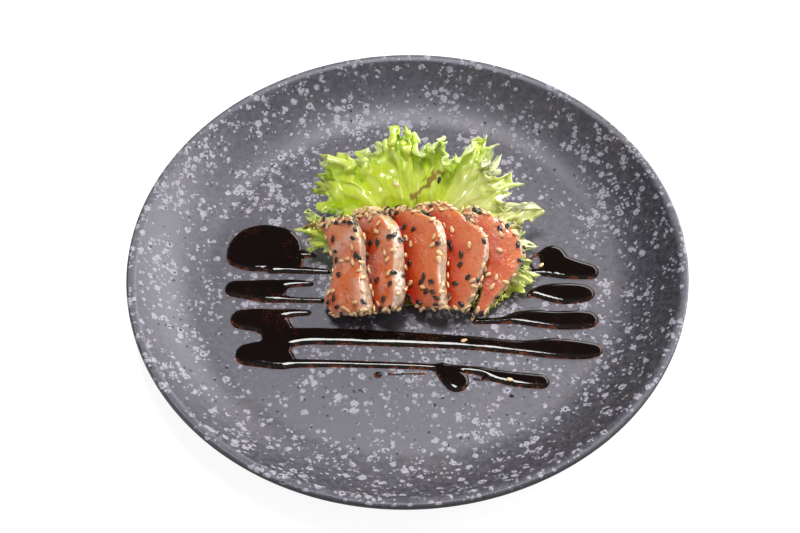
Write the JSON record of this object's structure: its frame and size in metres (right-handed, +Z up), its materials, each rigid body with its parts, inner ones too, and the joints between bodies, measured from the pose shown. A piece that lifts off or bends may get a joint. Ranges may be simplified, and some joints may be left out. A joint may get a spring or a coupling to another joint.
{
  "type": "salmon tataki",
  "caption": "Seared salmon tataki: leaning slices with sesame on a frilled lettuce leaf, dark sauce strokes, on a round coupe plate.",
  "frame": {"origin": "centre of the plate, at the level its foot ring stands on", "axes": "+Z up, square to the plate; -Y is the side that faces the diner and the picture's camera; +X is to the diner's right"},
  "size_m": [0.27, 0.27, 0.05],
  "materials": {
    "plate_glaze": "satin",
    "lettuce": "satin",
    "salmon": "gloss",
    "sauce": "gloss",
    "sesame_cream": "satin",
    "sesame_black": "gloss"
  },
  "bodies": {
    "root": {"plate": "plate_glaze", "lettuce": "lettuce", "slice_1": "salmon", "slice_2": "salmon", "slice_3": "salmon", "slice_4": "salmon", "slice_5": "salmon"}
  },
  "joints": []
}
